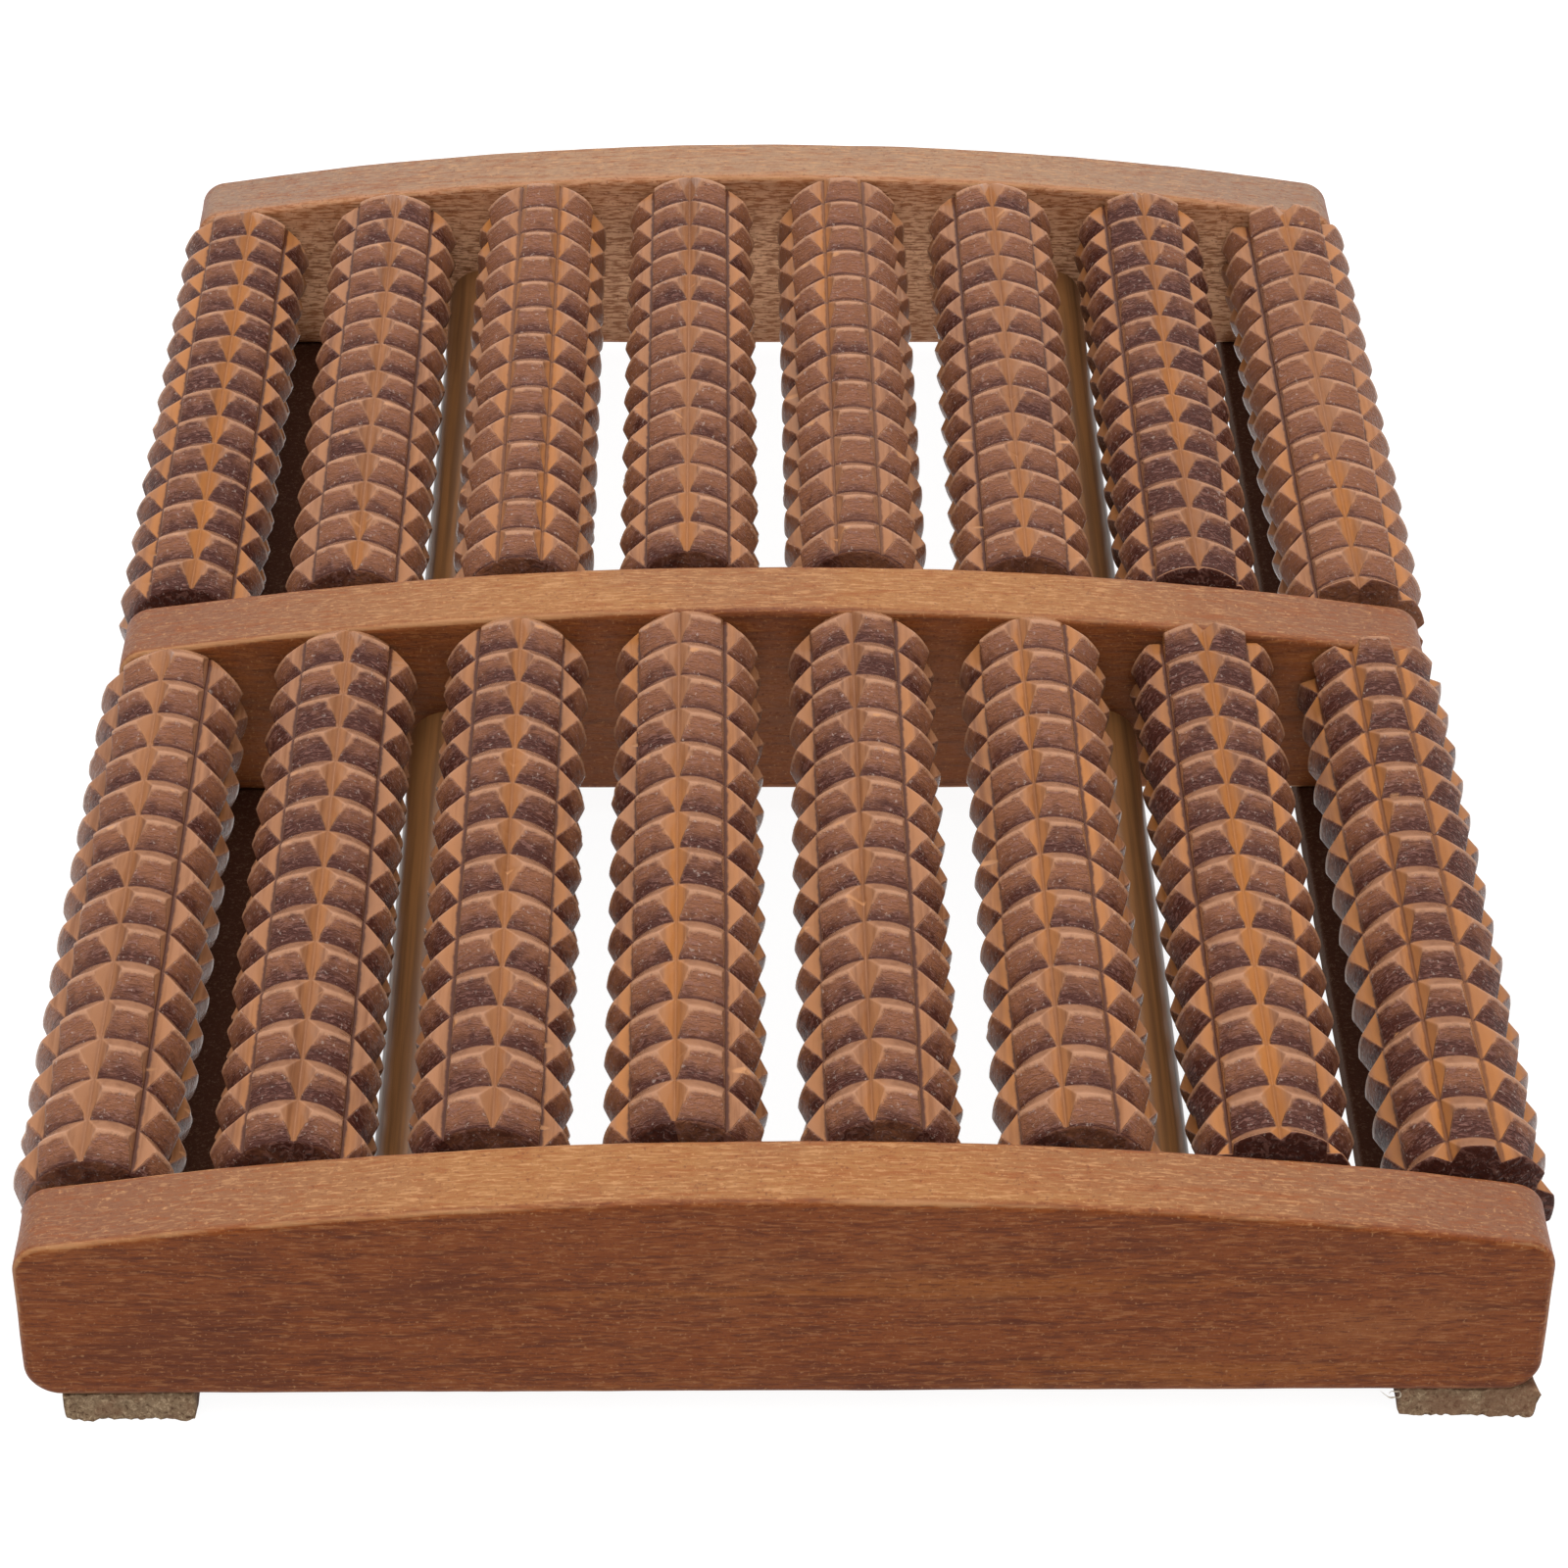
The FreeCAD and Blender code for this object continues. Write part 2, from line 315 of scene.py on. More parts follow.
# Chips: how many, how deep at most and from what share of that, how wide along the roller, how many
# times wider round it, and how far from the crest's line
CHIP_COUNT, CHIP_DEPTH, CHIP_SHARES, CHIP_WIDTHS = 26, 0.42, (0.3, 1.0), (0.25, 0.75)
CHIP_STRETCH, CHIP_SCATTER = 1.6, 0.15
# Heights and lengths of the waves in a roller's surface, in its stain and in the painted orange glow of its
# flutes
ROLLER_WAVES, STAIN_WAVE, ORANGE_WAVE = ((0.05, 30.0), (0.025, 3.0)), (0.16, 60.0), (0.35, 14.0)
# How the stain varies from tooth to tooth
TOOTH_SPREAD = 0.13
# How far a groove is from the crests beside it
GROOVE_AWAY = 4.28
# Marks of the sawn ends: far from a worn edge, and as far before a crest as a dark patch is
END_MARKS = {"from_edge": 9.0, "from_flute": 9.0, "from_crest": -3.5, "chip": 0.0}
# Corners of the frame's rollers are alike where their radii differ by less than this
SAME_RADIUS = 0.02
# A shift of the rings above this, just below zero, counts as none
LEAST_SHIFT = -0.01


def softened(distance, radius):
    """A distance from a sharp line, rounded off near it."""
    return np.sqrt(distance ** 2 + radius ** 2)


def round_axis(radius, y, angle):
    """Points at a radius and an angle from straight up, round the Y axis."""
    return np.stack(np.broadcast_arrays(radius * np.sin(angle), y, radius * np.cos(angle)), axis=-1)


def either_way(angles):
    """Angles brought to between half a turn back and half a turn on."""
    return np.remainder(angles + np.pi, 2 * np.pi) - np.pi


def roller_rows(sizes, span, ring_shift, random):
    """Places y of a roller's rows, how far each is behind its crest, its unfluted radius, and its ring.

    Radius = R - s/2 (h + soft(a) - soft(h - a)): straight flanks of slope s between
    crests and grooves that are half a pitch h apart, both softened, at a distance a
    from the crest. Each ring is turned a little deeper or shallower than the next.
    The rings start one pitch early, and the rows that lie past an end are left out.
    """
    half_pitch = span / sizes.ring_count / 2
    starts = 2 * np.arange(-1, sizes.ring_count)[:, None] * half_pitch
    inner = (starts + (1 + RING_ROWS) * half_pitch).ravel() + ring_shift
    inner = inner[(inner > END_CLEARANCE) & (inner < span - END_CLEARANCE)]
    y = np.concatenate([[0.0], inner, [span]])
    turns = (np.clip(y, END_INSET, span - END_INSET) - ring_shift) / half_pitch / 2
    ring = np.floor(turns + ROUND_OFF).astype(int) + 1
    behind = (2 * (turns - ring) + 1) * half_pitch
    away = np.abs(behind)
    slope = sizes.ring_depth / MM / half_pitch
    wear = sizes.crest_wear / MM
    depth = slope / 2 * (half_pitch + softened(away, wear) - softened(half_pitch - away, wear / 3))
    depth -= slope / 2 * wear
    turned = random.uniform(*RING_SPREAD, sizes.ring_count + 1)[ring] * (1 - away / half_pitch)
    return y, behind, sizes.radius / MM - depth - turned, ring


def toothed_roller(sizes, span, turn, ring_shift, stain, orange, seed):
    """Grid of a roller along +Y from the origin, with marks for its material.

    Its radius over (y, angle) is the softer smaller of two surfaces: the turned
    rings, and flutes with a right-angled V, whose radius at an angle d from the
    middle of the flute is p / (cos d - sin |d|) for a bottom at p. Columns lean so
    that one of them always runs along the edge where the two surfaces meet. The
    flute that faces up at rest is kept light, and the others are darkened by
    painted shade with some pooled stain.
    """
    random = np.random.default_rng(seed)
    y, from_crest, ring_radius, ring = roller_rows(sizes, span, ring_shift, random)
    y, from_crest, radius = y[:, None], from_crest[:, None], ring_radius[:, None]
    sides = sizes.side_count
    middles = (np.arange(sides) + random.normal(0, SIDE_SPREAD, sides)) * 2 * np.pi / sides
    bottoms = (sizes.radius - sizes.flute_depth) / MM + random.uniform(*FLUTE_SPREAD, sides)
    ridges = (middles + np.append(middles[1:], middles[0] + 2 * np.pi)) / 2
    angles, edges = [], []
    for side, middle in enumerate(middles):
        widest = np.clip(bottoms[side] / (radius * math.sqrt(2)), 0, WIDEST_COSINE)
        reach = np.arccos(widest) - math.pi / 4
        flank = reach * FLANK_COLUMNS
        flank_edge = (flank - reach) * radius * FLANK_STRETCH
        ridge_before = ridges[side - 1] - (0 if side else 2 * np.pi)
        room_before, room_after = middle - ridge_before - reach, ridges[side] - middle - reach
        before, after = (reach + room * RIDGE_COLUMNS for room in (room_before, room_after))
        angles.append(middle + np.hstack([-before[:, ::-1], -flank[:, ::-1], 0 * reach, flank, after,
                                          reach + room_after]))
        edges.append(np.hstack([(before - reach)[:, ::-1] * radius, flank_edge[:, ::-1],
                                -reach * radius * FLANK_STRETCH, flank_edge, (after - reach) * radius,
                                room_after * radius]))
    side_of = np.repeat(np.arange(sides), angles[0].shape[1])
    angle, from_edge = np.hstack(angles), np.hstack(edges)
    middle = middles[side_of]
    away = softened(angle - middle, FLUTE_SOFTNESS)
    flute_radius = bottoms[side_of] / (np.cos(away) - np.sin(away))
    outside = (radius + flute_radius - softened(radius - flute_radius, sizes.edge_wear / MM)) / 2
    surface = round_axis(outside, y, angle)
    outside += uneven(surface, seed + 1, *ROLLER_WAVES)
    chipped = chips(y, angle, sizes, span, random, outside)
    outside -= CHIP_DEPTH * chipped
    tooth_tone = random.normal(0, TOOTH_SPREAD, (sizes.ring_count + 1, sides + 1))
    tooth = np.floor((angle - middles[0]) * sides / (2 * np.pi) + ROUND_OFF).astype(int) % sides
    tone = stain + tooth_tone[ring[:, None], tooth] + uneven(surface, seed + 3, STAIN_WAVE)
    # Painted shade with pooled stain: the flutes turned away from up get darker seams
    from_top = np.abs(either_way(middles + turn))
    seams = SEAM_CLEAN + SEAM_RISE * np.clip(from_top / SEAM_REACH - 0.5, 0, 1)
    slow = surface * np.array([1.0, 0.25, 1.0])
    marks = {"stain": tone, "from_edge": from_edge, "from_crest": from_crest + 0 * angle,
             "from_flute": np.abs(angle - middle) * outside, "seam": seams[side_of] + 0 * angle,
             "chip": chipped, "orange": orange + uneven(slow, seed + 4, ORANGE_WAVE)}
    return end_faces(sizes, y, angle, outside, marks, turn)


def chips(y, angle, sizes, span, random, radius):
    """How deep each point lies in a chip, from 0 to 1. A chip is a bell-shaped hollow on a crest."""
    depth = np.zeros_like(angle)
    pitch = span / sizes.ring_count
    for _ in range(CHIP_COUNT):
        place = (random.integers(sizes.ring_count) + 0.5) * pitch + random.normal(0, CHIP_SCATTER)
        turn = random.uniform(0, 2 * np.pi)
        width = random.uniform(*CHIP_WIDTHS)
        round_by = either_way(angle - turn) * radius
        near = ((y - place) / width) ** 2 + (round_by / width / CHIP_STRETCH) ** 2
        depth = np.maximum(depth, random.uniform(*CHIP_SHARES) * np.exp(-near))
    return depth


def end_faces(sizes, y, angle, outside, marks, turn):
    """The roller's outside, continued over its sawn ends and back through its bore as one closed ring."""
    bore = sizes.bore_radius / MM
    start, stop = y[0, 0], y[-1, 0]

    def over_end(row, place, inwards):
        """Circles over one end, from the bore out to its rounded rim."""
        edge = outside[row]
        steps = ((bore, 0), ((bore + edge) / 2, 0), (edge - RIM * RIM_STOP, 0),
                 (edge - RIM * RIM_MIDDLE[0], RIM * RIM_MIDDLE[1]))
        return [round_axis(radius, place + inwards * depth, angle[row]) for radius, depth in steps]

    body = round_axis(outside, y, angle)
    body[0, :, 1] += RIM * RIM_START
    body[-1, :, 1] -= RIM * RIM_START
    first = [round_axis(bore, stop / 2, angle[0])] + over_end(0, start, 1)
    final = over_end(-1, stop, -1)[::-1]
    points = np.concatenate([np.array(first), body, np.array(final)])
    grown = {}
    for label, values in marks.items():
        ends = [np.repeat(values[:1], len(first), axis=0), np.repeat(values[-1:], len(final), axis=0)]
        if label in END_MARKS:
            ends = [np.full_like(end, END_MARKS[label]) for end in ends]
        grown[label] = np.concatenate([ends[0], values, ends[1]])
    cos, sin = math.cos(turn), math.sin(turn)
    x = points[..., 0] * cos + points[..., 2] * sin
    z = points[..., 2] * cos - points[..., 0] * sin
    return np.stack([x, points[..., 1], z], axis=-1), grown


def middle_phase(values, period):
    """The middle of values that repeat with a period."""
    around = values * 2 * np.pi / period
    return math.atan2(np.sin(around).sum(), np.cos(around).sum()) * period / (2 * np.pi)


def turn_and_shift(node, low, high, sizes):
    """How far a roller of the frame is turned, and how far back its rings lie.

    The turn comes from the corners at its flutes' bottoms, the shift from those on its crests.
    """
    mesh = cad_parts[node].data
    points = np.zeros(len(mesh.vertices) * 3, np.float32)
    mesh.vertices.foreach_get("co", points)
    points = points.reshape(-1, 3) / MM - (low + high) / 2
    out = np.hypot(points[:, 0], points[:, 2])
    lowest = out[out > out.max() / 2].min()
    bottoms = points[np.abs(out - lowest) < SAME_RADIUS]
    turn = middle_phase(np.arctan2(bottoms[:, 0], bottoms[:, 2]), 2 * np.pi / sizes.side_count)
    span = high[1] - low[1]
    pitch = span / sizes.ring_count
    crests = points[out > out.max() - SAME_RADIUS][:, 1] + span / 2 - pitch / 2
    ring_shift = middle_phase(crests, pitch)
    return turn, ring_shift if ring_shift > LEAST_SHIFT else ring_shift + pitch


# ---- Boards ----

# Points along a board's outline: on half an end, round a corner, and over the arch or along the bottom
END_POINTS, CORNER_POINTS, LONG_POINTS = 10, 14, 240
# Rows of a board: across half a face, round an edge, and across half the thickness
FACE_ROWS, EDGE_ROWS, SIDE_ROWS = 9, 7, 4
# Heights and lengths of the waves that hand sanding left
BOARD_WAVES = ((1.0, 26.0), (0.5, 7.0))
# Saw marks: depth, radians up the face for each millimetre, wander, and length of the stretches they come in
SAW_DEPTH, SAW_TURNS, SAW_WANDER, SAW_REACH = 0.07, 4.2, (1.5, 12.0), 4.0


def board_outline(sizes, half, low, crown):
    """Points and outward directions (x, z) round a board, and which of them face each other.

    Two halves, from the middle of the left end over the top to the right end, and
    from there back under the bottom. Each is a chain of straight lines and arcs:
    the arch has the radius of a circle through its ends and its crown.
    """
    rise, corner = sizes.arch_rise / MM, sizes.corner_radius / MM
    arch = half ** 2 / (2 * rise) + rise / 2
    arch_z = crown - arch
    corner_z = arch_z + math.sqrt((arch - corner) ** 2 - (half - corner) ** 2)
    lean = math.atan2(corner_z - arch_z, half - corner)
    middle = (low + crown - rise) / 2

    def arc(x, z, radius, start, stop, count=CORNER_POINTS):
        """Points and outward directions along an arc."""
        around = np.linspace(start, stop, count, endpoint=False)
        out = np.stack([np.cos(around), np.sin(around)], axis=-1)
        return np.array([x, z]) + radius * out, out

    def line(start, stop, out, count=END_POINTS):
        """Points and outward directions along a straight line."""
        along = np.linspace(0, 1, count, endpoint=False)[:, None]
        points = np.array(start) * (1 - along) + np.array(stop) * along
        return points, np.broadcast_to(np.array(out, float), points.shape)

    below = low + corner
    chain = (line((-half, middle), (-half, corner_z), (-1, 0)),
             arc(-half + corner, corner_z, corner, np.pi, np.pi - lean),
             arc(0, arch_z, arch, np.pi - lean, lean, LONG_POINTS),
             arc(half - corner, corner_z, corner, lean, 0),
             line((half, corner_z), (half, middle), (1, 0)),
             line((half, middle), (half, below), (1, 0)),
             arc(half - corner, below, corner, 0, -np.pi / 2),
             line((half - corner, low), (-half + corner, low), (0, -1), LONG_POINTS),
             arc(-half + corner, below, corner, -np.pi / 2, -np.pi),
             line((-half, below), (-half, middle), (-1, 0)))
    points, out = (np.concatenate(part) for part in zip(*chain))
    facing = (-np.arange(len(points))) % len(points)
    return points, out, facing


def arched_board(sizes, low, high, rough_face, seed):
    """Grid of a board: its outline, carried from the middle of one face over the edge to the other.

    On the faces each point slides from the outline towards the point halfway to
    the one that faces it, so both faces close along a line. Over the edges it
    moves on a quarter circle, and across the thickness it stays on the outline.
    """
    half, thick = (high[0] - low[0]) / 2, (high[1] - low[1]) / 2
    outline, out, facing = board_outline(sizes, half, low[2], high[2])
    edge = sizes.edge_radius / MM
    quarter = np.linspace(0, np.pi / 2, EDGE_ROWS)
    face, side = np.ones(FACE_ROWS), np.zeros(SIDE_ROWS)
    inset = np.concatenate([face * edge, edge * (1 - np.sin(quarter)), side])
    slide = np.concatenate([np.linspace(1, 0, FACE_ROWS + 1)[:-1], 0 * quarter, side])
    depth = np.concatenate([face * thick, thick - edge * (1 - np.cos(quarter)),
                            (thick - edge) * np.linspace(1, 0, SIDE_ROWS + 1)[1:]])
    rounding = np.concatenate([0 * face, np.sin(2 * quarter), side])
    inset, slide, rounding = (np.append(part, part[-2::-1]) for part in (inset, slide, rounding))
    depth = np.append(-depth, depth[-2::-1])
    rim = outline[None] - out[None] * inset[:, None, None]
    halfway = (rim + rim[:, facing]) / 2
    flat = rim * (1 - slide[:, None, None]) + halfway * slide[:, None, None]
    across = np.broadcast_to(depth[:, None], flat.shape[:2])
    points = np.stack([flat[..., 0], across, flat[..., 1]], axis=-1)
    points += np.array([0, (low[1] + high[1]) / 2, 0])
    wave = uneven(points, seed, *BOARD_WAVES)
    push = sizes.unevenness / MM * (wave - MOSTLY_INWARDS)
    on_face = np.clip(np.abs(across) / thick * 4 - 3, 0, 1)
    points[..., 1] += push * on_face * np.sign(across)
    points[..., 0] += push * (1 - on_face) * out[None, :, 0]
    points[..., 2] += push * (1 - on_face) * out[None, :, 1] * (points[..., 2] > low[2] + 1)
    saw_lines = np.sin(points[..., 2] * SAW_TURNS + uneven(points, seed + 2, SAW_WANDER))
    on_front = on_face * (across < 0) * (0.1 + 0.9 * slide[:, None]) ** 0.3
    saw_marks = saw_lines * waviness(points, seed + 3, SAW_REACH)
    points[..., 1] += SAW_DEPTH * rough_face * on_front * saw_marks
    # How far the edges and ends face up: where the board's painted top light goes, and the faded top
    upward = np.clip(out[None, :, 1], 0, 1) * (1 - on_face)
    return points, {"arris": rounding[:, None], "upward": upward, "sawn": rough_face * on_front,
                    "endward": np.abs(points[..., 0]) / half, "faded": rough_face * upward}


# ---- Runners, dowels and glue ----

# Rows near a runner's ends, by their distance, and how far the section has opened in an end's rows
FINE_ROWS = np.array([0.0, 0.15, 0.4, 0.9, 1.6, 2.6, 4.0])
OPENING = [0.0, 0.4, 0.75, 0.94]
CORNER_COLUMNS, TOP_COLUMNS, RUNNER_ROWS = 6, 41, 90
# Where the even rows start, how far in from an end its fibres are torn, and how far it bulges
EVEN_ROWS, TORN_REACH, BULGE_REACH = 6, 1.2, 5.0
# Number of waves in the torn fibres, and where the side edges start, as a share of half the width
FIBRE_WAVES, SIDE_START = 14, 0.94
NICK_COUNT, NICK_SIZES = 7, (0.5, 1.3)
BAR_ROWS, BAR_COLUMNS = 120, 96
STRING_ROWS, STRING_COLUMNS = 90, 12


def rounded_strip(sizes, low, high, spread, stained, seed):
    """Grid of a flat strip along Y: a box section with round corners, carried from end to end.

    The section's upper and lower halves have matching points, so at each sawn
    end it closes on the line between them. The ends are rough, as torn fibres
    leave them, and a few nicks are broken out of their edges.
    """
    random = np.random.default_rng(seed)
    wide, tall = (high[0] - low[0]) / 2, (high[2] - low[2]) / 2
    corner = sizes.edge_radius / MM
    turn = np.linspace(0, np.pi / 2, CORNER_COLUMNS)
    across = np.linspace(-1, 1, TOP_COLUMNS + 2)[1:-1] * (wide - corner)
    in_by, down_by = corner * (1 - np.cos(turn)), corner * (1 - np.sin(turn))
    upper_x = np.concatenate([[-wide], in_by - wide, across, wide - in_by[::-1], [wide]])
    upper_z = np.concatenate([[0], tall - down_by, np.full(TOP_COLUMNS, tall), tall - down_by[::-1], [0]])
    x = np.append(upper_x, upper_x[-2:0:-1])
    z = np.append(upper_z, -upper_z[-2:0:-1])
    reach = (high[1] - low[1]) / 2
    even = np.linspace(EVEN_ROWS - reach, reach - EVEN_ROWS, RUNNER_ROWS)
    along = np.concatenate([FINE_ROWS - reach, even, (reach - FINE_ROWS)[::-1]])
    y = np.concatenate([np.full(len(OPENING), -reach), along, np.full(len(OPENING), reach)])
    opened = np.concatenate([OPENING, np.ones(len(along)), OPENING[::-1]])
    points = np.stack(np.broadcast_arrays(x, y[:, None], z * opened[:, None]), axis=-1)
    near_end = np.exp(-(reach - np.abs(points[..., 1])) / TORN_REACH)
    torn = waviness(points, seed, 1.3, FIBRE_WAVES) + 0.8 * waviness(points, seed + 1, 4.0)
    rough = sizes.roughness / MM
    points[..., 1] -= np.sign(points[..., 1]) * near_end * rough * (1.0 + torn)
    inwards = rough * 0.5 * (0.35 + near_end) * (1.1 + waviness(points, seed + 2, 2.2, FIBRE_WAVES))
    side = np.clip((np.abs(points[..., 0]) / wide - SIDE_START) / (1 - SIDE_START), 0, 1)
    points[..., 0] -= np.sign(points[..., 0]) * inwards * side
    top = points[..., 2] > tall * 0.6
    points[..., 2] -= np.where(top, inwards * 0.12 + 0.35 * rough * near_end, 0)
    for _ in range(NICK_COUNT):
        place = np.array([random.uniform(-wide, wide), -reach, tall])
        size = random.uniform(*NICK_SIZES)
        hollow = np.exp(-(((points - place) / size) ** 2).sum(axis=-1))
        points[..., 2] -= 0.5 * size * hollow
        points[..., 1] += 0.4 * size * hollow
    outer = np.sign(low[0]) * points[..., 0] / wide
    bulge = np.exp(-(reach + points[..., 1]) / BULGE_REACH) * np.clip(outer, 0, 1) ** 2
    points[..., 0] += np.sign(low[0]) * spread * bulge * (0.75 + 0.5 * points[..., 2] / tall)
    points[..., 1] -= spread * 0.6 * bulge
    points += (low + high) / 2
    end = np.clip(near_end * 1.4, 0, 1)
    edges = side * np.where(outer > 0, 0.7, 0.15)
    return points, {"cut": np.maximum(end, edges), "stained": stained}


def turned_bar(sizes, low, high, seed):
    """Grid of a round bar along Y: a circle carried from end to end, with chamfers and a slight waver."""
    radius, reach = (high[0] - low[0]) / 2, (high[1] - low[1]) / 2
    chamfer = sizes.chamfer / MM
    along = np.linspace(-reach + chamfer, reach - chamfer, BAR_ROWS)
    y = np.concatenate([[-reach, -reach], along, [reach, reach]])
    out = np.concatenate([[0, radius - chamfer], np.full(BAR_ROWS, radius), [radius - chamfer, 0]])
    around = np.linspace(0, 2 * np.pi, BAR_COLUMNS, endpoint=False)
    points = round_axis(out[:, None], y[:, None], around)
    slow = points * np.array([1.0, 0.12, 1.0])
    waver = sizes.unevenness / MM * (waviness(slow, seed, 9.0) - MOSTLY_INWARDS) / radius
    points[..., ::2] *= 1 + waver[..., None]
    return points + (low + high) / 2


def glue_string(low, high, seed):
    """Grid of a hair-thin string of glue: a small circle carried along a loop beside a runner's end.

    The loop is a spiral: seen from the front it turns once round a centre, while
    its distance from there falls off quickly to that of a small ring.
    """
    steps = np.linspace(0, 1, STRING_ROWS)
    around = np.radians(160 + 375 * steps)
    out = 0.78 + 1.45 * np.exp(-(around - around[0]) / 0.4)
    path = np.stack([out * np.cos(around), 0.12 * np.sin(3 * around), 0.85 * out * np.sin(around)], axis=-1)
    path += np.array([low[0] - 0.62, low[1] - 0.1, high[2] - 0.72])
    ahead = np.gradient(path, axis=0)
    ahead /= np.linalg.norm(ahead, axis=1, keepdims=True)
    side = np.cross(ahead, [0.0, 1.0, 0.0])
    side /= np.linalg.norm(side, axis=1, keepdims=True)
    up = np.cross(side, ahead)
    thick = 0.10 * np.sin(np.pi * steps) ** 0.4 * (1 + 0.3 * np.sin(23 * steps + seed))
    thick[0] = thick[-1] = 0
    turn = np.linspace(0, 2 * np.pi, STRING_COLUMNS, endpoint=False)[None, :, None]
    circle = side[:, None] * np.cos(turn) + up[:, None] * np.sin(turn)
    return path[:, None] + thick[:, None, None] * circle


# ---- Materials ----

class Nodes:
    """A tree of nodes. Each method that adds one gives back the socket that it feeds."""

    def __init__(self, tree):
        self.tree = tree

    def add(self, kind, **settings):
        """Adds a node and gives it back."""
        node = self.tree.nodes.new(kind)
        for label, value in settings.items():
            setattr(node, label, value)
        return node

    def feed(self, socket, value):
        """Links a socket to another, or sets its value. Colours are opaque."""
        if isinstance(value, bpy.types.NodeSocket):
            self.tree.links.new(value, socket)
        elif socket.type == "RGBA":
            socket.default_value = (*value, 1.0)
        else:
            socket.default_value = value

    def ease(self, value, start, stop, low=0.0, high=1.0, curve="SMOOTHSTEP"):
        """A smooth rise from low to high as the value goes from start to stop."""
        node = self.add("ShaderNodeMapRange", interpolation_type=curve)
        for label, given in (("Value", value), ("From Min", start), ("From Max", stop),
                             ("To Min", low), ("To Max", high)):
            self.feed(node.inputs[label], given)
        return node.outputs["Result"]

    def math(self, operation, *values):
        """Values combined by a math operation."""
        node = self.add("ShaderNodeMath", operation=operation)
        for socket, value in zip(node.inputs, values):
            self.feed(socket, value)
        return node.outputs["Value"]

    def plus(self, first, second):
        """The sum of two values."""
        return self.math("ADD", first, second)

    def times(self, first, second):
        """The product of two values."""
        return self.math("MULTIPLY", first, second)


class Finish(Nodes):
    """One material's nodes."""

    def __init__(self, name):
        self.material = bpy.data.materials.new(name)
        self.material.use_nodes = True
        super().__init__(self.material.node_tree)
        self.shader = self.tree.nodes["Principled BSDF"]
        self.place = self.add("ShaderNodeTexCoord").outputs["Object"]

    def marks(self, *labels):
        """Number attributes of the piece."""
        return [self.add("ShaderNodeAttribute", attribute_name=label).outputs["Fac"] for label in labels]

    def noise(self, scale, detail=3.0, roughness=0.55, distortion=0.0):
        """A noise from 0 to 1, with one scale or one for each axis: a metre holds so many of its waves."""
        vector = self.place
        if isinstance(scale, tuple):
            stretched = self.add("ShaderNodeMapping")
            self.feed(stretched.inputs["Vector"], self.place)
            self.feed(stretched.inputs["Scale"], scale)
            vector, scale = stretched.outputs["Vector"], 1.0
        node = self.add("ShaderNodeTexNoise")
        for label, value in (("Vector", vector), ("Scale", scale), ("Detail", detail),
                             ("Roughness", roughness), ("Distortion", distortion)):
            self.feed(node.inputs[label], value)
        return node.outputs["Fac"]

    def centred(self, value, reach):
        """A noise moved to lie round zero, and scaled."""
        return self.times(self.math("SUBTRACT", value, 0.5), reach)

    def ragged(self, value, noise, reach):
        """A value that a noise has made uneven by as much as half its reach."""
        return self.plus(value, self.centred(noise, reach))

    def mix(self, amount, under, over):
        """Two colours blended by an amount."""
        node = self.add("ShaderNodeMix", data_type="RGBA")
        for label, value in (("Factor", amount), ("A", under), ("B", over)):
            self.feed(node.inputs[label], value)
        return node.outputs["Result"]

    def coats(self, base, *layers):
        """A colour with others laid over it in turn.

        Each layer is a colour, the value that it follows, where that value starts
        and stops, and how much the layer covers at most.
        """
        for over, value, start, stop, most in layers:
            base = self.mix(self.ease(value, start, stop, 0.0, most), base, over)
        return base

    def relief(self, height, depth, below=None):
        """A bump of so many millimetres, over another one."""
        node = self.add("ShaderNodeBump")
        self.feed(node.inputs["Distance"], depth * MM)
        self.feed(node.inputs["Strength"], 1.0)
        self.feed(node.inputs["Height"], height)
        if below is not None:
            self.feed(node.inputs["Normal"], below)
        return node.outputs["Normal"]

    def done(self, base, roughness, **others):
        """Feeds the shader's colour, roughness and other sockets, named with _ for a space."""
        for label, value in {"Base Color": base, "Roughness": roughness, **others}.items():
            self.feed(self.shader.inputs[label.replace("_", " ")], value)
        return self.material


